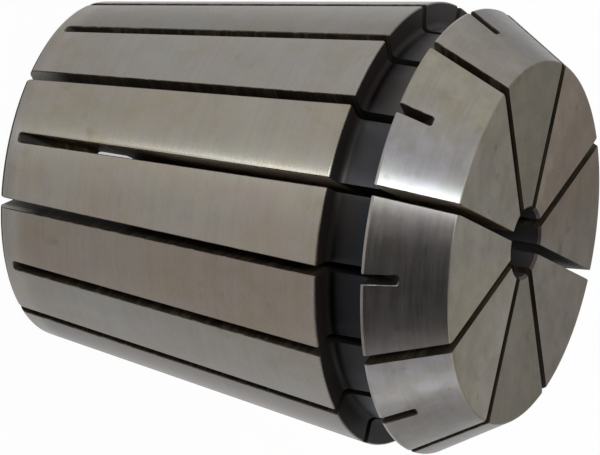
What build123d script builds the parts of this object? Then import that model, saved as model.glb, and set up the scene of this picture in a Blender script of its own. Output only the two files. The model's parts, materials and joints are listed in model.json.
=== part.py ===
from build123d import *
import os
from math import radians, sqrt, tan

# Spring collet for a tool holder: one ground steel piece, millimetres.
# The origin is the centre of the small rear face, +Z runs along the axis towards the nose.

# Overall
overall_length = 46.0
largest_diameter = 41.0

# Rear taper, which seats in the holder, up to the groove
taper_half_angle = 8.0
rear_edge_radius = 1.1
taper_edge_break = 0.15

# Groove that the nut's eccentric ring catches in to pull the collet out
groove_width = 4.4
groove_floor_diameter = 36.2
groove_corner_radius = 0.6

# Nose, which the nut presses on: a narrow land and a cone up to the front face
nose_length = 6.95
nose_land_width = 0.3
nose_half_angle = 30.0
nose_edge_break = 0.12
face_edge_radius = 0.3

# Bore for the shank, wider behind the gripping length, and the recess in the rear face
grip_bore_diameter = 6.35
grip_bore_length = 17.5
bore_mouth_chamfer = 0.25
relief_bore_diameter = 12.0
relief_end_angle = 59.0
rear_recess_diameter = 23.0
rear_recess_depth = 10.4
recess_mouth_chamfer = 0.3

# Slots: one ring opens at the nose, the other at the rear, turned by half a pitch.
# Each leaves a web of steel at its closed end, measured on the outer surface.
slots_per_ring = 8
slot_width = 0.9
slot_floor_bevel = 0.2
rear_web = 1.4
nose_web = 3.95

# Saw that cuts the slots: its rim comes this close to the collet's axis
saw_diameter = 125.0
saw_depth_radius = 2.0

# How far a cutting shape reaches past the surface that it opens
overcut = 2.0

# Radii and heights that follow from the sizes above
largest_radius = largest_diameter / 2
groove_floor_radius = groove_floor_diameter / 2
grip_bore_radius = grip_bore_diameter / 2
relief_bore_radius = relief_bore_diameter / 2
rear_recess_radius = rear_recess_diameter / 2
taper_slope = tan(radians(taper_half_angle))
nose_slope = tan(radians(nose_half_angle))
nose_back = overall_length - nose_length
taper_length = nose_back - groove_width
cone_start = nose_back + nose_land_width
rear_radius = largest_radius - taper_length * taper_slope
face_radius = largest_radius - (overall_length - cone_start) * nose_slope
grip_bore_end = overall_length - grip_bore_length
relief_cone_length = (relief_bore_radius - grip_bore_radius) / tan(radians(relief_end_angle))
relief_bore_top = grip_bore_end - relief_cone_length

# Half section through the axis, with its corners rounded or broken
with BuildSketch(Plane.XZ) as section:
    with BuildLine():
        Polyline(
            (rear_recess_radius, 0),
            (rear_radius, 0),
            (largest_radius, taper_length),
            (groove_floor_radius, taper_length),
            (groove_floor_radius, nose_back),
            (largest_radius, nose_back),
            (largest_radius, cone_start),
            (face_radius, overall_length),
            (grip_bore_radius, overall_length),
            (grip_bore_radius, grip_bore_end),
            (relief_bore_radius, relief_bore_top),
            (relief_bore_radius, rear_recess_depth),
            (rear_recess_radius, rear_recess_depth),
            close=True,
        )
    make_face()
    corners = section.vertices()
    fillet(corners.sort_by_distance((rear_radius, 0))[0], rear_edge_radius)
    fillet(corners.sort_by_distance((face_radius, overall_length))[0], face_edge_radius)
    fillet(corners.sort_by_distance((groove_floor_radius, taper_length))[0], groove_corner_radius)
    fillet(corners.sort_by_distance((groove_floor_radius, nose_back))[0], groove_corner_radius)
    chamfer(corners.sort_by_distance((largest_radius, taper_length))[0], taper_edge_break)
    chamfer(corners.sort_by_distance((largest_radius, nose_back))[0], nose_edge_break)
    chamfer(corners.sort_by_distance((grip_bore_radius, overall_length))[0], bore_mouth_chamfer)
    chamfer(corners.sort_by_distance((rear_recess_radius, 0))[0], recess_mouth_chamfer)

with BuildPart() as body:
    add(section.sketch)
    revolve(axis=Axis.Z)

# Where the saw stands at the end of its cut. Its rim is a circle, so a slot's floor is an arc
# that leaves the web's thickness at the outer surface and runs in towards the bore.
saw_radius = saw_diameter / 2
saw_centre_radius = saw_depth_radius + saw_radius
outer_reach = largest_radius + overcut
saw_travel = overall_length + overcut
outer_rise = sqrt(saw_radius**2 - (saw_centre_radius - outer_reach) ** 2)

rear_web_radius = rear_radius + rear_web * taper_slope
rear_web_rise = sqrt(saw_radius**2 - (saw_centre_radius - rear_web_radius) ** 2)
front_cut_centre = rear_web + rear_web_rise

nose_web_radius = face_radius + nose_web * nose_slope
nose_web_rise = sqrt(saw_radius**2 - (saw_centre_radius - nose_web_radius) ** 2)
rear_cut_centre = overall_length - nose_web - nose_web_rise

# What the saw clears on its way from the nose to the rear web
with BuildPart() as front_cut:
    with BuildSketch(Plane.XZ):
        with BuildLine():
            Polyline(
                (saw_depth_radius, front_cut_centre),
                (saw_depth_radius, front_cut_centre + saw_travel),
                (outer_reach, front_cut_centre + saw_travel),
                (outer_reach, front_cut_centre - outer_rise),
            )
            RadiusArc(
                (outer_reach, front_cut_centre - outer_rise),
                (saw_depth_radius, front_cut_centre),
                saw_radius,
            )
        make_face()
    extrude(amount=slot_width / 2, both=True)
    chamfer(front_cut.edges().filter_by(GeomType.CIRCLE), slot_floor_bevel)

# What it clears on its way from the rear face to the nose web
with BuildPart() as rear_cut:
    with BuildSketch(Plane.XZ):
        with BuildLine():
            Polyline(
                (saw_depth_radius, rear_cut_centre),
                (saw_depth_radius, rear_cut_centre - saw_travel),
                (outer_reach, rear_cut_centre - saw_travel),
                (outer_reach, rear_cut_centre + outer_rise),
            )
            RadiusArc(
                (outer_reach, rear_cut_centre + outer_rise),
                (saw_depth_radius, rear_cut_centre),
                -saw_radius,
            )
        make_face()
    extrude(amount=slot_width / 2, both=True)
    chamfer(rear_cut.edges().filter_by(GeomType.CIRCLE), slot_floor_bevel)

# The collet: the turned body with both rings of slots cut through taper, groove and nose
slot_pitch = 360 / slots_per_ring
with BuildPart() as collet:
    add(body.part)
    with PolarLocations(0, slots_per_ring):
        add(front_cut.part, mode=Mode.SUBTRACT)
    with PolarLocations(0, slots_per_ring, start_angle=slot_pitch / 2):
        add(rear_cut.part, mode=Mode.SUBTRACT)

os.makedirs("parts", exist_ok=True)
collet.part.label = "collet"
export_step(collet.part, "parts/collet.step")
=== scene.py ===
"""Looks of a spring collet: ground taper and nose, blackened groove, sawn slots with broken edges."""

import json
from math import atan2, cos, degrees, hypot, pi, radians, sin, sqrt, tan

import bpy
from mathutils import Matrix, Vector

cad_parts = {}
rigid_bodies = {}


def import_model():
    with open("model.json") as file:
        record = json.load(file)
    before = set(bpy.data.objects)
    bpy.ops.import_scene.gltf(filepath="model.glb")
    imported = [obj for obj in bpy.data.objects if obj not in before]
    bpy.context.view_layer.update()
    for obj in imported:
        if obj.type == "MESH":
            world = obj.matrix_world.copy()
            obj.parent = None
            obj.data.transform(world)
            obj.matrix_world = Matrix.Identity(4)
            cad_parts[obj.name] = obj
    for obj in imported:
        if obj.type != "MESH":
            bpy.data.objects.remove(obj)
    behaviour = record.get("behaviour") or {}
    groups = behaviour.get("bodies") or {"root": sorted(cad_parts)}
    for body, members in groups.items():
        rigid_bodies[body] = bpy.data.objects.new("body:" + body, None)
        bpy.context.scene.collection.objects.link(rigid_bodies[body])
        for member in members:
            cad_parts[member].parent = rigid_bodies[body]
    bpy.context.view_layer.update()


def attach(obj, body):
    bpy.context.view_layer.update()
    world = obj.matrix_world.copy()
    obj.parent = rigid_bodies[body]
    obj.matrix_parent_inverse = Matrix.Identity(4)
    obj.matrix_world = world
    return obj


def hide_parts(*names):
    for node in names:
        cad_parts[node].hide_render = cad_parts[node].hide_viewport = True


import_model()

MM = 0.001

# Turned and ground body, in millimetres, as in the part's source
LENGTH = 46.0
LARGEST_DIAMETER = 41.0
TAPER_ANGLE = 8.0
REAR_EDGE_RADIUS = 1.1
TAPER_EDGE_BREAK = 0.15
GROOVE_WIDTH = 4.4
GROOVE_FLOOR_DIAMETER = 36.2
GROOVE_CORNER_RADIUS = 0.6
NOSE_LENGTH = 6.95
NOSE_LAND = 0.3
NOSE_ANGLE = 30.0
NOSE_EDGE_BREAK = 0.12
FACE_EDGE_RADIUS = 0.3
GRIP_BORE_DIAMETER = 6.35
GRIP_BORE_LENGTH = 17.5
BORE_MOUTH_CHAMFER = 0.25
RELIEF_BORE_DIAMETER = 12.0
RELIEF_END_ANGLE = 59.0
RECESS_DIAMETER = 23.0
RECESS_DEPTH = 10.4
RECESS_MOUTH_CHAMFER = 0.3

# Slots and the saw that cuts them
SLOTS_PER_RING = 8
SLOT_WIDTH = 0.9
SLOT_FLOOR_BEVEL = 0.2
REAR_WEB = 1.4
NOSE_WEB = 3.95
SAW_RADIUS = 62.5
SAW_DEPTH_RADIUS = 2.0
SAW_TRAVEL = 48.0
SAW_STEPS = 480
SLOT_EDGE_BREAK = 0.08

# The lathe turns in 304 steps, so that no slot edge runs along a step's seam
TURNING_STEPS = 304

LARGEST_RADIUS = LARGEST_DIAMETER / 2
TAPER_SLOPE = tan(radians(TAPER_ANGLE))
NOSE_SLOPE = tan(radians(NOSE_ANGLE))
NOSE_BACK = LENGTH - NOSE_LENGTH
TAPER_LENGTH = NOSE_BACK - GROOVE_WIDTH
CONE_START = NOSE_BACK + NOSE_LAND
REAR_RADIUS = LARGEST_RADIUS - TAPER_LENGTH * TAPER_SLOPE
FACE_RADIUS = LARGEST_RADIUS - (LENGTH - CONE_START) * NOSE_SLOPE
GROOVE_RADIUS = GROOVE_FLOOR_DIAMETER / 2
GRIP_RADIUS = GRIP_BORE_DIAMETER / 2
RELIEF_RADIUS = RELIEF_BORE_DIAMETER / 2
RECESS_RADIUS = RECESS_DIAMETER / 2
GRIP_END = LENGTH - GRIP_BORE_LENGTH
RELIEF_TOP = GRIP_END - (RELIEF_RADIUS - GRIP_RADIUS) / tan(radians(RELIEF_END_ANGLE))
SAW_CENTRE = SAW_DEPTH_RADIUS + SAW_RADIUS
SLOT_PITCH = 360 / SLOTS_PER_RING

# Places of the finishes in the collet's material slots
FINISHES = (
    "taper", "nose", "face", "groove", "bore", "front_sawn", "rear_sawn", "edge", "bright_edge", "rear_rim")
TAPER, NOSE, FACE, GROOVE, BORE, FRONT_SAWN, REAR_SAWN, EDGE, PAINTED_GLINT_EDGE, REAR_RIM = range(len(FINISHES))

# How high the dark rim at the rear reaches
REAR_RIM_HEIGHT = 0.5

# Angles round the axis between which the slots' broken edges on the nose are painted paler, a painted
# highlight where they glint, as in the photograph
PAINTED_GLINT_ANGLES = ((-67.5, -63), (-94, -90))

# A flat face lies within FLAT_REACH of its height. A turned face has to pass a corner by CORNER_REACH.
FLAT_REACH = 0.01
CORNER_REACH = 0.02

# Points this near to each other become one after turning
WELD_REACH = 0.002

# Faces that meet at a sharper angle than this keep a crisp corner between them
CRISP_ANGLE = 21


# Work in edit mode

def select_only(piece):
    """Selects one piece and makes it the active one."""
    bpy.ops.object.select_all(action="DESELECT")
    piece.select_set(True)
    bpy.context.view_layer.objects.active = piece


def edit(piece):
    """Opens a piece in edit mode with nothing selected."""
    select_only(piece)
    bpy.ops.object.mode_set(mode="EDIT")
    bpy.ops.mesh.select_all(action="DESELECT")


def pick(piece, kind, wanted):
    """Selects the vertices, edges or faces that wanted(item, mesh) is true for."""
    bpy.ops.mesh.select_mode(type=kind)
    bpy.ops.mesh.select_all(action="DESELECT")
    bpy.ops.object.mode_set(mode="OBJECT")
    mesh = piece.data
    items = {"VERT": mesh.vertices, "EDGE": mesh.edges, "FACE": mesh.polygons}[kind]
    items.foreach_set("select", [wanted(item, mesh) for item in items])
    bpy.ops.object.mode_set(mode="EDIT")


def near(point, place):
    """True where two points are the same, apart from rounding."""
    return (point - place).length < 0.001 * MM


def around(point):
    """Distance from the collet's axis, in millimetres."""
    return hypot(point.x, point.y) / MM


def apply_modifiers(piece):
    """Applies a piece's modifiers in their order."""
    select_only(piece)
    for modifier in [m.name for m in piece.modifiers]:
        bpy.ops.object.modifier_apply(modifier=modifier)


# The body, turned from its half section

def turn_body():
    """Draws the half section corner by corner, rounds its corners, and turns it round the axis."""
    # Each corner's radius and height, how much of it is broken or rounded, and in how many steps
    corners = [
        (RECESS_RADIUS, 0, RECESS_MOUTH_CHAMFER, 1),
        (REAR_RADIUS, 0, REAR_EDGE_RADIUS, 6),
        (LARGEST_RADIUS, TAPER_LENGTH, TAPER_EDGE_BREAK, 2),
        (GROOVE_RADIUS, TAPER_LENGTH, GROOVE_CORNER_RADIUS, 5),
        (GROOVE_RADIUS, NOSE_BACK, GROOVE_CORNER_RADIUS, 5),
        (LARGEST_RADIUS, NOSE_BACK, NOSE_EDGE_BREAK, 2),
        (LARGEST_RADIUS, CONE_START, 0, 0),
        (FACE_RADIUS, LENGTH, FACE_EDGE_RADIUS, 4),
        (GRIP_RADIUS, LENGTH, BORE_MOUTH_CHAMFER, 1),
        (GRIP_RADIUS, GRIP_END, 0, 0),
        (RELIEF_RADIUS, RELIEF_TOP, 0, 0),
        (RELIEF_RADIUS, RECESS_DEPTH, 0, 0),
        (RECESS_RADIUS, RECESS_DEPTH, 0, 0),
    ]
    places = [Vector((r * MM, 0, z * MM)) for r, z, _, _ in corners]
    bpy.ops.object.select_all(action="DESELECT")
    bpy.ops.mesh.primitive_plane_add(size=2 * MM, location=(0, 0, 0))
    body = bpy.context.active_object
    body.name = body.data.name = "collet_body"
    bpy.ops.object.mode_set(mode="EDIT")
    bpy.ops.mesh.select_mode(type="VERT")
    bpy.ops.mesh.select_all(action="SELECT")
    bpy.ops.mesh.merge(type="CENTER")
    bpy.ops.transform.translate(value=places[0])
    for here, there in zip(places, places[1:]):
        bpy.ops.mesh.extrude_region_move(TRANSFORM_OT_translate={"value": there - here})
    pick(body, "VERT", lambda v, m: near(v.co, places[0]) or near(v.co, places[-1]))
    bpy.ops.mesh.edge_face_add()
    count = len(corners)
    for k, (_, _, size, steps) in enumerate(corners):
        if not steps:
            continue
        before, after = places[k - 1] - places[k], places[(k + 1) % count] - places[k]
        rounded = steps > 2
        reach = size / tan(before.angle(after) / 2) if rounded else size
        pick(body, "VERT", lambda v, m: near(v.co, places[k]))
        bpy.ops.mesh.bevel(offset=reach * MM, segments=steps, profile=0.5, affect="VERTICES")
    bpy.ops.mesh.select_all(action="SELECT")
    bpy.ops.mesh.spin(steps=TURNING_STEPS, angle=2 * pi, center=(0, 0, 0), axis=(0, 0, 1))
    bpy.ops.mesh.select_all(action="SELECT")
    bpy.ops.mesh.remove_doubles(threshold=WELD_REACH * MM)
    bpy.ops.mesh.normals_make_consistent(inside=False)
    clear_flat_face(body, LENGTH, 0)
    clear_flat_face(body, 0, SLOT_PITCH / 2)
    bpy.ops.object.mode_set(mode="OBJECT")
    return body


def clear_flat_face(body, height, first_slot):
    """Takes the seams out of a flat face, but leaves those that a slot will cut away."""
    def seam(edge, mesh):
        a, b = (mesh.vertices[v].co for v in edge.vertices)
        at_height = all(abs(point.z / MM - height) < 0.0001 for point in (a, b))
        runs_outwards = abs(around(a) - around(b)) > 0.5
        off = (degrees(atan2(a.y, a.x)) - first_slot) % SLOT_PITCH
        return at_height and runs_outwards and min(off, SLOT_PITCH - off) > 0.1

    pick(body, "EDGE", seam)
    bpy.ops.mesh.dissolve_edges(use_verts=False)


# The slots

def saw_sweep(name, centre_height, way):
    """One slot as the saw clears it: the rim's arc below or above its centre, drawn out along the travel."""
    bpy.ops.object.select_all(action="DESELECT")
    bpy.ops.mesh.primitive_cylinder_add(
        vertices=SAW_STEPS, radius=SAW_RADIUS * MM, depth=SLOT_WIDTH * MM,
        location=(SAW_CENTRE * MM, 0, centre_height * MM), rotation=(pi / 2, 0, 0))
    sweep = bpy.context.active_object
    sweep.name = sweep.data.name = name
    bpy.ops.object.transform_apply(location=True, rotation=True, scale=True)
    edit(sweep)
    bpy.ops.mesh.select_all(action="SELECT")
    bpy.ops.mesh.bisect(
        plane_co=(0, 0, centre_height * MM), plane_no=(0, 0, way), use_fill=True,
        clear_outer=True, clear_inner=False)
    pick(sweep, "FACE", lambda f, m: f.normal.z * way > 0.999)
    bpy.ops.mesh.extrude_region_move(
        TRANSFORM_OT_translate={"value": (0, 0, way * SAW_TRAVEL * MM)})

    def rim(edge, mesh):
        a, b = (mesh.vertices[v].co for v in edge.vertices)
        middle = (a + b) / 2
        level = (middle.z - centre_height * MM) * way
        return level < 0.0001 * MM and abs(a.y - b.y) < 0.0001 * MM and (a - b).length < 2 * MM

    pick(sweep, "EDGE", rim)
    bpy.ops.mesh.bevel(offset=SLOT_FLOOR_BEVEL * MM, segments=2, profile=0.5, affect="EDGES")
    bpy.ops.mesh.select_all(action="SELECT")
    bpy.ops.mesh.normals_make_consistent(inside=False)
    bpy.ops.object.mode_set(mode="OBJECT")
    return sweep


def saw_ring(sweep, first_angle):
    """A sweep turned to each slot of its ring, all joined into one cutting shape."""
    for k in range(SLOTS_PER_RING):
        select_only(sweep)
        bpy.ops.object.duplicate(linked=False)
        copy = bpy.context.active_object
        copy.name = copy.data.name = f"{sweep.name}_{k}"
        copy.rotation_euler.z = radians(first_angle + k * SLOT_PITCH)
        bpy.ops.object.transform_apply(location=False, rotation=True, scale=False)
    copies = [o for o in bpy.data.objects if o.name.startswith(f"{sweep.name}_")]
    bpy.data.objects.remove(sweep)
    bpy.ops.object.select_all(action="DESELECT")
    for copy in copies:
        copy.select_set(True)
    bpy.context.view_layer.objects.active = copies[0]
    bpy.ops.object.join()
    return bpy.context.active_object


def web_rise(radius):
    """How far from the saw's centre height its rim crosses a radius."""
    return sqrt(SAW_RADIUS ** 2 - (SAW_CENTRE - radius) ** 2)


def cut_slots(body):
    """Cuts the ring of slots that opens at the nose, then the one that opens at the rear."""
    rear_web_radius = REAR_RADIUS + REAR_WEB * TAPER_SLOPE
    front_centre = REAR_WEB + web_rise(rear_web_radius)
    nose_web_radius = FACE_RADIUS + NOSE_WEB * NOSE_SLOPE
    rear_centre = LENGTH - NOSE_WEB - web_rise(nose_web_radius)
    front_ring = saw_ring(saw_sweep("front_saw", front_centre, 1), 0)
    rear_ring = saw_ring(saw_sweep("rear_saw", rear_centre, -1), SLOT_PITCH / 2)
    for ring, sawn in ((front_ring, FRONT_SAWN), (rear_ring, REAR_SAWN)):
        ring.data.materials.clear()
        for finish in FINISHES:
            ring.data.materials.append(bpy.data.materials[finish])
        ring.data.polygons.foreach_set("material_index", [sawn] * len(ring.data.polygons))
        cut = body.modifiers.new(ring.name, "BOOLEAN")
        cut.operation = "DIFFERENCE"
        cut.solver = "EXACT"
        cut.object = ring
        apply_modifiers(body)
        bpy.data.objects.remove(ring)


# Finishes by place

def finish_of(height, out, inwards):
    """The finish of a turned face, from its height, its distance from the axis and the way it looks."""
    face_edge = height > LENGTH - FACE_EDGE_RADIUS * 0.7 and out > FACE_RADIUS / 2
    if height > LENGTH - FLAT_REACH or height < FLAT_REACH or face_edge:
        return FACE
    taper_edge = abs(height - TAPER_LENGTH) < TAPER_EDGE_BREAK and out > LARGEST_RADIUS - 0.25
    if taper_edge:
        return TAPER
    wall_inside = inwards and out < RECESS_RADIUS + 0.5
    step_inside = out < RECESS_RADIUS - 0.2 and height < NOSE_BACK
    if wall_inside or step_inside:
        return BORE
    if height > NOSE_BACK + CORNER_REACH:
        return NOSE
    if height > TAPER_LENGTH - CORNER_REACH:
        return GROOVE
    return REAR_RIM if height < REAR_RIM_HEIGHT else TAPER


def finish_by_place(body):
    """Gives each turned face its finish from where it is."""
    for face in body.data.polygons:
        middle, normal = face.center, face.normal
        inwards = normal.x * middle.x + normal.y * middle.y < 0
        face.material_index = finish_of(middle.z / MM, around(middle), inwards)


def break_slot_edges(body):
    """Breaks the edges that the saw left on the outer surfaces and the front face."""
    edit(body)
    sides = {}
    for face in body.data.polygons:
        for key in face.edge_keys:
            sides.setdefault(key, []).append(face.material_index)

    def sharp(edge, mesh):
        found = sides[tuple(sorted(edge.vertices))]
        cut = [side in (FRONT_SAWN, REAR_SAWN) for side in found]
        if not any(cut) or all(cut) or BORE in found or GROOVE in found:
            return False
        a, b = (mesh.vertices[v].co for v in edge.vertices)
        return min(around(a), around(b)) > GRIP_RADIUS + BORE_MOUTH_CHAMFER + 0.1

    pick(body, "EDGE", sharp)
    bpy.ops.mesh.bevel(
        offset=SLOT_EDGE_BREAK * MM, segments=2, profile=0.5, affect="EDGES",
        material=EDGE, clamp_overlap=False)
    bpy.ops.object.mode_set(mode="OBJECT")
    # Painted highlight: the broken edges on the nose within those angles take the paler edge colour, where
    # they glint
    for face in body.data.polygons:
        angle, height = degrees(atan2(face.center.y, face.center.x)), face.center.z / MM
        bright = any(first < angle < last for first, last in PAINTED_GLINT_ANGLES)
        if face.material_index == EDGE and bright and height > NOSE_BACK + 0.1:
            face.material_index = PAINTED_GLINT_EDGE


def smooth(body):
    """Shades the turned and ground faces smooth and keeps their corners crisp."""
    select_only(body)
    bpy.ops.object.shade_smooth_by_angle(angle=radians(CRISP_ANGLE))
    weights = body.modifiers.new("face_weights", "WEIGHTED_NORMAL")
    weights.keep_sharp = True
    weights.weight = 80
    apply_modifiers(body)


# Shader nodes

class Wire:
    """The output of a shader node, which sums and products can be written with."""

    def __init__(self, finish, socket):
        self.finish, self.socket = finish, socket

    def __add__(self, other):
        return self.finish.maths("ADD", self, other)

    def __radd__(self, other):
        return self.finish.maths("ADD", other, self)

    def __sub__(self, other):
        return self.finish.maths("SUBTRACT", self, other)

    def __rsub__(self, other):
        return self.finish.maths("SUBTRACT", other, self)

    def __mul__(self, other):
        return self.finish.maths("MULTIPLY", self, other)

    def __rmul__(self, other):
        return self.finish.maths("MULTIPLY", other, self)

    def __truediv__(self, other):
        return self.finish.maths("DIVIDE", self, other)

    def __pow__(self, other):
        return self.finish.maths("POWER", self, other)


class Finish:
    """The nodes of one material, world or lamp."""

    def __init__(self, owner):
        owner.use_nodes = True
        self.tree = owner.node_tree
        self.tree.nodes.clear()

    def node(self, kind, settings=None, sockets=None, output=0):
        """Adds a node: its settings first, then the values or links of its sockets."""
        made = self.tree.nodes.new(kind)
        for name, value in (settings or {}).items():
            if name == "stops":
                ramp = made.color_ramp
                while len(ramp.elements) < len(value):
                    ramp.elements.new(0.5)
                for stop, (place, colour) in zip(ramp.elements, value):
                    stop.position, stop.color = place, (*colour, 1)
            else:
                setattr(made, name, value)
        for name, value in (sockets or {}).items():
            if isinstance(value, Wire):
                self.tree.links.new(value.socket, made.inputs[name])
            else:
                made.inputs[name].default_value = value
        return Wire(self, made.outputs[output]) if made.outputs else made

    def place(self, kind="Object"):
        """Coordinates as three values."""
        spot = self.node("ShaderNodeTexCoord", output=kind)
        return [self.node("ShaderNodeSeparateXYZ", sockets={0: spot}, output=k) for k in range(3)]

    def maths(self, operation, first, second=0.0):
        """A sum or another operation on values."""
        return self.node("ShaderNodeMath", {"operation": operation}, {0: first, 1: second})

    def noise(self, x, y, z, detail=2.0, roughness=0.5):
        """Cloudy noise from 0 to 1 at a place."""
        vector = self.node("ShaderNodeCombineXYZ", sockets={0: x, 1: y, 2: z})
        return self.node("ShaderNodeTexNoise", sockets={
            "Vector": vector, "Scale": 1.0, "Detail": detail, "Roughness": roughness})

    def between(self, low, high, value):
        """0 below low, 1 above high, and smooth between them."""
        return self.node("ShaderNodeMapRange", {"interpolation_type": "SMOOTHSTEP"}, {
            "Value": value, "From Min": low, "From Max": high})

    def between_mm(self, low, high, value):
        """The same with low and high in millimetres, for a value in metres."""
        return self.between(low * MM, high * MM, value)

    def mix(self, factor, first, second, how="MIX"):
        """Two colours mixed, more of the second the higher the factor."""
        return self.node("ShaderNodeMix", {"data_type": "RGBA", "blend_type": how}, {
            0: factor, 6: first, 7: second}, output=2)

    def times(self, first, second):
        """Two colours multiplied."""
        return self.mix(1.0, first, second, "MULTIPLY")

    def tint(self, red, green, blue):
        """A plain colour."""
        return (red, green, blue, 1.0)

    def grey(self, level):
        """A grey as pale as a value."""
        return self.node("ShaderNodeCombineColor", sockets={0: level, 1: level, 2: level})

    def bump(self, strength, depth, height):
        """Marks this many millimetres deep."""
        return self.node("ShaderNodeBump", sockets={
            "Strength": strength, "Distance": depth * MM, "Height": height})

    def steel(self, sockets):
        """The surface of the metal and its skins."""
        return self.node("ShaderNodeBsdfPrincipled", sockets=sockets)

    def show(self, surface):
        """Makes a surface the one that the material shows."""
        self.node("ShaderNodeOutputMaterial", sockets={"Surface": surface})


def new_finish(name):
    """A new material's nodes."""
    return Finish(bpy.data.materials.new(name))


def ring_lines(f, x, y, z, out, pitch, length):
    """Fine lines that run round the axis, as a wheel or a turning tool leaves them."""
    along = (z + out) * (1 / (pitch * MM))
    drift = 1 / (length * MM)
    return f.noise(x * drift, y * drift, along, detail=3.0, roughness=0.6)


def toned(colour, parts):
    """A colour with its red, green and blue each made weaker or stronger."""
    return (*(a * b for a, b in zip(colour, parts)), 1.0)


# A quarter turn spreads the sheen along the collet, across the lines round its axis
SHEEN_TURN = 0.25

# Tints of ground steel, which differ a little from piece to piece: partly the steel's true tint, and partly
# the painted colour of the light that each piece reflects
PLAIN, OLIVE, STRAW, AMBER = (1, 1, 1), (1.02, 1, 0.93), (1.05, 1, 0.94), (1.09, 1, 0.93)
ROSE, COOL, BROWN, MOSS = (1.03, 1, 1.00), (0.97, 1, 1.06), (1.13, 1, 0.90), (1.02, 1, 0.87)

# A piece's tone changes within this share of its width beside a slot
TONE_STEP = 0.02

# The colour ramp holds the tones of the pieces divided by this
TONE_SCALE = 2

# Tones of the marks on ground steel, as parts of its dark or pale tone
STAIN, SPECK, MOTTLE = (0.72, 0.66, 0.62), (0.55, 0.50, 0.46), (0.97, 0.93, 0.98)


def piece_tones_and_shade(f, x, y, pieces, blend):
    """The tone and tint of each piece between two slots, counted round the axis from +X: partly the steel's
    true tone, partly painted shade and reflection for how light falls on each piece.

    blend is how far a tone runs over where no slot parts two pieces.
    """
    turn = f.maths("FRACT", f.maths("ARCTAN2", y, x) / (2 * pi) + 1)
    count = len(pieces)
    stops = []
    for k, (tone, tint) in enumerate(pieces):
        first, last = (TONE_STEP, blend) if k % 2 == 0 else (blend, TONE_STEP)
        colour = tuple(tone * part / TONE_SCALE for part in tint)
        stops += [((k + first) / count, colour), ((k + 1 - last) / count, colour)]
    return f.node("ShaderNodeValToRGB", {"stops": stops}, {0: turn})


def ground_steel(name, pale, dark, warm, roughness, fan, lines, line_pitch, marks, pieces, blend,
                 polish=None, evens_out=False):
    """Steel ground on a wheel: lines round the axis, cloudy tone, and roughness that follows the lines.

    lines: how strongly fine and broad lines show in the tone, then in the roughness.
    marks: how strongly stains, specks, mottling and patches show.
    polish: the share of a crisper sheen, how much smoother it is, and between which heights it grows.
    evens_out: the pieces lose their tones, with the painted shade in them, at the rear edge, and the tone
    rises towards the groove.
    """
    fine_tone, broad_tone, fine_rough, broad_rough = lines
    stains, specks, mottling, patches = marks
    f = new_finish(name)
    x, y, z = f.place()
    out = (x * x + y * y) ** 0.5
    fine = ring_lines(f, x, y, z, out, line_pitch, 5.0)
    broad = ring_lines(f, x, y, z, out, line_pitch * 5, 30.0)
    cloud = f.noise(x * 90, y * 90, z * 60, detail=3.0)
    drift = f.noise(x * 210 + 7, y * 210, z * 120)
    tone = f.mix(f.between(0.35, 0.65, cloud), f.tint(*dark), f.tint(*pale))
    tone = f.mix(f.between(0.45, 0.7, drift) * 0.7, tone, f.tint(*warm))
    smudge = f.noise(x * 420, y * 420 + 3, z * 420, detail=4.0, roughness=0.65)
    tone = f.mix(f.between(0.58, 0.76, smudge) * stains, tone, toned(dark, STAIN))
    dots = f.noise(x * 1300, y * 1300, z * 1300 + 5)
    tone = f.mix(f.between(0.68, 0.76, dots) * specks, tone, toned(dark, SPECK))
    mottle = f.noise(x * 520, y * 520 + 9, z * 420, detail=3.0)
    tone = f.mix(f.between(0.42, 0.60, mottle) * mottling, tone, toned(pale, MOTTLE))
    patch = f.between(0.36, 0.64, f.noise(x * 400, y * 400, z * 400 + 4, detail=4.0, roughness=0.62))
    level = TONE_SCALE + (fine - 0.5) * fine_tone + (broad - 0.5) * broad_tone + (patch - 0.5) * patches
    tones_and_shade = piece_tones_and_shade(f, x, y, pieces, blend)
    if evens_out:
        even = 1 / TONE_SCALE
        tones_and_shade = f.mix(f.between_mm(0.8, 3.5, z), f.tint(even, even, even), tones_and_shade)
        level = level * (0.94 + z * (0.12 / (TAPER_LENGTH * MM)))
    colour = f.times(f.times(tone, tones_and_shade), f.grey(level))
    rough = roughness + (fine - 0.5) * fine_rough + (broad - 0.5) * broad_rough + (cloud - 0.5) * 0.06
    sheen = {"Base Color": colour, "Metallic": 1.0, "Anisotropic Rotation": SHEEN_TURN, "Normal": f.bump(
        0.35, 0.010, fine * 0.7 + broad * 0.3)}
    surface = f.steel({**sheen, "Roughness": rough, "Anisotropic": fan})
    if polish:
        most, smoother, low, high = polish
        crisp = f.steel({**sheen, "Roughness": rough - smoother, "Anisotropic": 1.0})
        share = f.between_mm(low, high, z) * most
        surface = f.node("ShaderNodeMixShader", sockets={0: share, 1: surface, 2: crisp})
    f.show(surface)


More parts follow.
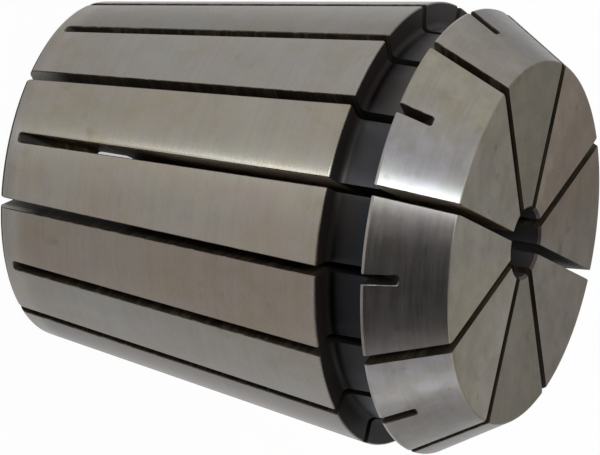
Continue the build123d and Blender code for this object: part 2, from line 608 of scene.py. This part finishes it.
def blackened_steel(name, pieces):
    """The groove keeps its dark heat-treated skin, smooth, a little blue, and brown in places."""
    f = new_finish(name)
    x, y, z = f.place()
    out = (x * x + y * y) ** 0.5
    fine = ring_lines(f, x, y, z, out, 0.2, 12.0)
    cloud = f.noise(x * 160, y * 160, z * 160, detail=3.0)
    brown = f.between(0.50, 0.68, f.noise(x * 110 + 2, y * 110, z * 240))
    tone = f.mix(f.between(0.3, 0.7, cloud), f.tint(0.034, 0.034, 0.036), f.tint(0.046, 0.050, 0.057))
    tone = f.mix(brown * 0.7, tone, f.tint(0.058, 0.046, 0.043))
    tones_and_shade = piece_tones_and_shade(f, x, y, pieces, blend=0.4)
    tone = f.times(f.times(tone, tones_and_shade), f.tint(TONE_SCALE, TONE_SCALE, TONE_SCALE))

    # Painted shade: the floor is painted darker towards the taper, on the side of -X and, at the corner,
    # away from the middle
    floor_start = TAPER_LENGTH + 0.4
    rise = f.between_mm(floor_start, NOSE_BACK, z)
    corner = f.between_mm(floor_start, TAPER_LENGTH + 1.2, z)
    painted_corner_shade = 0.9 - f.between_mm(4.0, 9.0, f.maths("ABSOLUTE", x)) * 0.75
    side = 1.0 - f.between_mm(-6.0, -9.0, x) * (1.0 - rise) * 0.72
    tone = f.times(tone, f.grey(side * (painted_corner_shade + corner * (1.0 - painted_corner_shade))))

    # The shoulder below the floor is painted near black as shade, since it lies in shadow; the rear rim is
    # near black too; neither has a shine of metal
    skin = f.between(0.10 * MM, 0.55 * MM, z - TAPER_LENGTH * MM)
    tone = f.mix(skin, f.tint(0.016, 0.0125, 0.011), tone)
    f.show(f.steel({
        "Base Color": tone, "Metallic": skin, "Roughness": 0.40 + (cloud - 0.5) * 0.12 + (fine - 0.5) * 0.1,
        "Anisotropic": 0.9, "Anisotropic Rotation": SHEEN_TURN, "Specular IOR Level": 0.1,
        "Normal": f.bump(0.3, 0.004, fine)}))


def sawn_steel(name, painted_shade_end, painted_reflection_mouth=None):
    """Slot walls: a dark brown skin with the saw's marks, painted near black as shade inside the groove and
    towards the closed end, and painted paler where light falls on them.

    painted_reflection_mouth: between which heights the walls on the side of -Y are painted pale where the
    slot opens, a painted reflection of the pale background beyond the opening.
    """
    f = new_finish(name)
    x, y, z = f.place()
    cloud = f.noise(x * 300, y * 300, z * 200, detail=3.0)
    marks = f.noise(x * 50, y * 50, z * 2400, detail=3.0, roughness=0.6)
    tone = f.mix(f.between(0.30, 0.70, cloud), f.tint(0.019, 0.013, 0.007), f.tint(0.034, 0.024, 0.015))
    tone = f.mix(f.between(0.50, 0.62, marks) * 0.5, tone, f.tint(0.080, 0.060, 0.045))
    tone = f.mix(f.between(0.50, 0.38, marks) * 0.6, tone, f.tint(0.014, 0.011, 0.009))

    # Painted light: the walls of the slot on the side of -Y are painted paler where light falls on them,
    # most of all in their upper half
    painted_light_walls = f.between_mm(0.9, 0.6, f.maths("ABSOLUTE", x)) * f.between_mm(0, -3, y)
    tone = f.mix(painted_light_walls, tone, f.times(tone, f.tint(4.6, 4.4, 4.0)))
    painted_light_upper = painted_light_walls * f.between_mm(12, 20, z) * f.between_mm(-13, -16, y)
    tone = f.mix(painted_light_upper * 0.7, tone, f.tint(0.50, 0.43, 0.36))
    if painted_reflection_mouth:
        # Painted reflection: near the opening the walls are painted pale, for the pale background they
        # mirror there
        bare = f.between_mm(*painted_reflection_mouth, z) * f.between_mm(-8, -11, y)
        tone = f.mix(bare, tone, f.tint(0.42, 0.40, 0.36))
    # Painted shade: inside the groove and towards the closed end the walls are painted near black, where
    # little light reaches
    painted_groove_shade = f.between_mm(TAPER_LENGTH - 0.3, TAPER_LENGTH, z) * f.between_mm(NOSE_BACK, NOSE_BACK - 0.3, z)
    tone = f.mix(painted_groove_shade, tone, f.tint(0.016, 0.014, 0.013))
    tone = f.mix(f.between_mm(*painted_shade_end, z), tone, f.tint(0.026, 0.019, 0.014))
    f.show(f.steel({
        "Base Color": tone, "Metallic": 0.0, "Roughness": 0.55 + (cloud - 0.5) * 0.2,
        "Specular IOR Level": 0.15, "Normal": f.bump(0.3, 0.005, marks)}))


def bored_steel(name):
    """Bore, wider bore and recess: turned steel with tool lines and a grey skin, painted paler in the recess
    for the light that reaches it through the slots.
    """
    f = new_finish(name)
    x, y, z = f.place()
    out = (x * x + y * y) ** 0.5
    fine = ring_lines(f, x, y, z, out, 0.12, 20.0)
    cloud = f.noise(x * 200, y * 200, z * 150, detail=3.0)
    tone = f.mix(f.between(0.3, 0.7, cloud), f.tint(0.046, 0.040, 0.040), f.tint(0.074, 0.067, 0.066))
    # Painted light: the recess is painted paler, for the light that reaches it through the slots
    recess = f.between_mm(RELIEF_RADIUS + 1, RELIEF_RADIUS + 2, out)
    tone = f.mix(recess * 0.8, tone, f.tint(0.26, 0.215, 0.19))
    tone = f.mix(f.between_mm(LENGTH - 0.5, LENGTH - 0.2, z), tone, f.tint(0.050, 0.036, 0.034))
    f.show(f.steel({
        "Base Color": tone, "Metallic": 0.6, "Roughness": 0.42 + (fine - 0.5) * 0.2, "Anisotropic": 0.5,
        "Anisotropic Rotation": SHEEN_TURN, "Normal": f.bump(0.4, 0.006, fine)}))


def broken_edge(name, skin, bare):
    """Edges broken after sawing: skin colour, with small nicks down to the bare steel."""
    f = new_finish(name)
    x, y, z = f.place()
    nicks = f.noise(x * 1500, y * 1500, z * 900, detail=3.0)
    tone = f.mix(f.between(0.48, 0.66, nicks), f.tint(*skin), f.tint(*bare))
    f.show(f.steel({"Base Color": tone, "Metallic": 1.0, "Roughness": 0.42 + (nicks - 0.5) * 0.3}))


# The pieces' tones and tints are partly the steel's true tones and partly painted shade and reflection,
# darker or paler where each piece reflects less or more light
ground_steel(
    "taper", pale=(0.302, 0.293, 0.270), dark=(0.270, 0.249, 0.214), warm=(0.292, 0.254, 0.212),
    roughness=0.46, fan=0.93, lines=(0.26, 0.30, 0.10, 0.0), line_pitch=0.10,
    marks=(0.45, 0.0, 0.6, 0.08), blend=0.02, polish=(0.8, 0.185, 0.0, 2.0), evens_out=True, pieces=(
        (0.74, PLAIN), (0.80, OLIVE), (0.78, PLAIN), (0.80, STRAW), (0.78, OLIVE), (0.82, PLAIN),
        (0.80, ROSE), (0.77, OLIVE), (0.76, PLAIN), (0.66, PLAIN), (0.93, PLAIN), (0.96, OLIVE),
        (0.93, STRAW), (0.72, AMBER), (0.77, PLAIN), (0.53, ROSE)))
ground_steel(
    "nose", pale=(0.290, 0.282, 0.264), dark=(0.255, 0.240, 0.216), warm=(0.250, 0.222, 0.205),
    roughness=0.35, fan=0.85, lines=(0.60, 0.16, 0.14, 0.03), line_pitch=0.10,
    marks=(0.9, 0.2, 0.8, 0.26), blend=0.35, pieces=(
        (0.54, PLAIN), (0.8, OLIVE), (0.9, PLAIN), (1.0, OLIVE), (0.97, PLAIN), (0.98, ROSE),
        (0.9, OLIVE), (0.8, PLAIN), (0.52, PLAIN), (0.87, OLIVE), (0.96, MOSS), (1.04, COOL),
        (0.97, ROSE), (0.72, ROSE), (1.02, COOL), (1.04, PLAIN)))
ground_steel(
    "face", pale=(0.268, 0.254, 0.212), dark=(0.236, 0.218, 0.178), warm=(0.252, 0.216, 0.178),
    roughness=0.42, fan=0.55, lines=(0.30, 0.20, 0.15, 0.0), line_pitch=0.12,
    marks=(0.9, 0.5, 1.0, 0.32), blend=0.45, pieces=(
        (0.85, OLIVE), (0.77, OLIVE), (0.86, ROSE), (0.93, ROSE), (0.87, ROSE), (0.78, BROWN),
        (0.86, BROWN), (0.98, BROWN), (0.74, MOSS), (0.76, MOSS), (1.03, OLIVE), (1.11, PLAIN),
        (1.26, PLAIN), (1.38, OLIVE), (1.28, OLIVE), (1.42, PLAIN)))
blackened_steel("groove", pieces=(
    (1.2, PLAIN), (1.2, PLAIN), (1.1, ROSE), (1.0, PLAIN), (1.1, PLAIN), (1.0, ROSE),
    (1.1, PLAIN), (1.2, PLAIN), (1.3, ROSE), (2.3, BROWN), (2.2, BROWN), (1.3, ROSE),
    (0.70, PLAIN), (0.58, COOL), (0.90, PLAIN), (1.3, PLAIN)))
blackened_steel("rear_rim", pieces=[(1.0, PLAIN)] * 2 * SLOTS_PER_RING)
bored_steel("bore")
sawn_steel("front_sawn", painted_shade_end=(6.0, 2.5))
sawn_steel("rear_sawn", painted_shade_end=(NOSE_BACK - 1.0, NOSE_BACK), painted_reflection_mouth=(4.5, 1.0))
broken_edge("edge", skin=(0.060, 0.046, 0.036), bare=(0.13, 0.115, 0.10))
# Painted highlight: a paler, bluish edge colour for the edges that glint on the nose
broken_edge("bright_edge", skin=(0.10, 0.102, 0.110), bare=(0.30, 0.31, 0.33))

# The collet
collet = turn_body()
for finish in FINISHES:
    collet.data.materials.append(bpy.data.materials[finish])
finish_by_place(collet)
cut_slots(collet)
break_slot_edges(collet)
smooth(collet)
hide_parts("collet")
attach(collet, "root")


# Floor, lamps and world

def pale_floor():
    """A plain pale floor. Camera, mirror and glass see it near white, and it keeps the collet's shadow."""
    bpy.ops.object.select_all(action="DESELECT")
    bpy.ops.mesh.primitive_plane_add(size=4.0, location=(0, 0, 0))
    floor = bpy.context.active_object
    floor.name = floor.data.name = "floor"
    f = new_finish("pale_floor")
    x, y, z = f.place()
    level = 0.80 + f.noise(x * 400, y * 400, z * 400) * 0.04
    below = f.between_mm(RECESS_RADIUS + 1, RECESS_RADIUS - 1, (x * x + y * y) ** 0.5)
    paint = f.node("ShaderNodeBsdfDiffuse", sockets={"Color": f.grey(level)})
    glow = f.node("ShaderNodeEmission", sockets={"Color": (1, 1, 1, 1), "Strength": 1.0})
    seen = [f.node("ShaderNodeLightPath", output=name) for name in (
        "Is Camera Ray", "Is Glossy Ray", "Is Transmission Ray")]
    # Under the collet the floor glows less, painted shade that lets the collet's real shadow there show
    # darker
    share = (seen[0] + seen[1] + seen[2]) * (0.97 - below * 0.45)
    f.show(f.node("ShaderNodeMixShader", sockets={0: share, 1: paint, 2: glow}))
    floor.data.materials.append(bpy.data.materials["pale_floor"])


def studio_world():
    """Soft grey room light: bright at both sides, a dark gap where the camera stands, grey behind."""
    world = bpy.data.worlds.new("studio")
    bpy.context.scene.world = world
    f = Finish(world)
    x, y, z = f.place("Generated")
    flat = (x * x + y * y + 0.0001) ** 0.5

    def facing(azimuth):
        """1 towards an azimuth, and -1 away from it."""
        return (x * cos(radians(azimuth)) + y * sin(radians(azimuth))) / flat

    gap = f.between(0.62, 0.90, facing(-50))
    behind = f.between(0.30, 0.95, facing(92))
    overhead = f.between(0.88, 0.995, z)
    right = f.between(0.55, 0.95, facing(30))
    sides = 1.0 - gap * 0.98 - behind * 0.48 - right * 0.25
    level = sides * (1 - overhead) + 0.55 * overhead
    glow = f.node("ShaderNodeBackground", sockets={"Color": (1, 1, 1, 1), "Strength": level})
    f.node("ShaderNodeOutputWorld", sockets={"Surface": glow})


def area_lamp(name, width, height, strength, colour):
    """A soft rectangular lamp, hidden from the camera."""
    data = bpy.data.lights.new(name, "AREA")
    data.shape = "RECTANGLE"
    data.size, data.size_y = width, height
    data.color = colour
    data.energy = strength * width * height * pi * 4
    lamp = bpy.data.objects.new(name, data)
    bpy.context.scene.collection.objects.link(lamp)
    lamp.visible_camera = False
    return lamp


def floor_strip(name, azimuth, start, length, width, strength, colour):
    """A narrow strip that lies on the floor and shines up, running out from the collet."""
    lamp = area_lamp(name, length, width, strength, colour)
    a = radians(azimuth)
    lamp.location = Vector(start) + Vector((cos(a), sin(a), 0)) * (length / 2)
    lamp.rotation_euler = (pi, 0, a)


def strip_lamp(name, azimuth, elevation, distance, width, height, strength, colour=(1, 1, 1)):
    """A soft strip that looks at the collet's middle."""
    lamp = area_lamp(name, width, height, strength, colour)
    a, e = radians(azimuth), radians(elevation)
    middle = Vector((0, 0, 0.03))
    out = Vector((cos(a) * cos(e), sin(a) * cos(e), sin(e)))
    lamp.location = middle + out * distance
    lamp.rotation_euler = out.to_track_quat("Z", "Y").to_euler()


def view_camera():
    """The photograph's view: a long lens from the nose side, rolled so that the axis lies across."""
    camera = bpy.data.cameras.new("camera")
    camera.sensor_width = 36.0
    camera.lens = 426.18
    camera.clip_start, camera.clip_end = 0.01, 20.0
    holder = bpy.data.objects.new("camera", camera)
    bpy.context.scene.collection.objects.link(holder)
    place = Vector((69.5828, -591.8638, 291.3202)) * MM
    aim = Vector((2.0057, 0.4489, 23.4867)) * MM
    upward = Vector((-0.97173, -0.17997, -0.15284))
    back = (place - aim).normalized()
    side = upward.cross(back).normalized()
    holder.matrix_world = Matrix((side, back.cross(side), back)).transposed().to_4x4()
    holder.location = place
    bpy.context.scene.camera = holder


pale_floor()
studio_world()
strip_lamp("key_strip", azimuth=-101.8, elevation=40, distance=0.6, width=0.04, height=0.46, strength=4.9,
           colour=(0.86, 0.96, 1.0))
strip_lamp("key_glow", azimuth=-84, elevation=6, distance=0.6, width=0.16, height=0.14, strength=0.35)
floor_strip("floor_strip", azimuth=-99.8, start=(-0.0055, -0.0417, 0.0005), length=0.11, width=0.003,
            strength=1.25, colour=(0.92, 0.97, 1.0))
strip_lamp("side_strip", azimuth=20, elevation=36, distance=0.6, width=0.06, height=0.40, strength=0.8)
view_camera()
bpy.context.scene.view_settings.view_transform = "Standard"
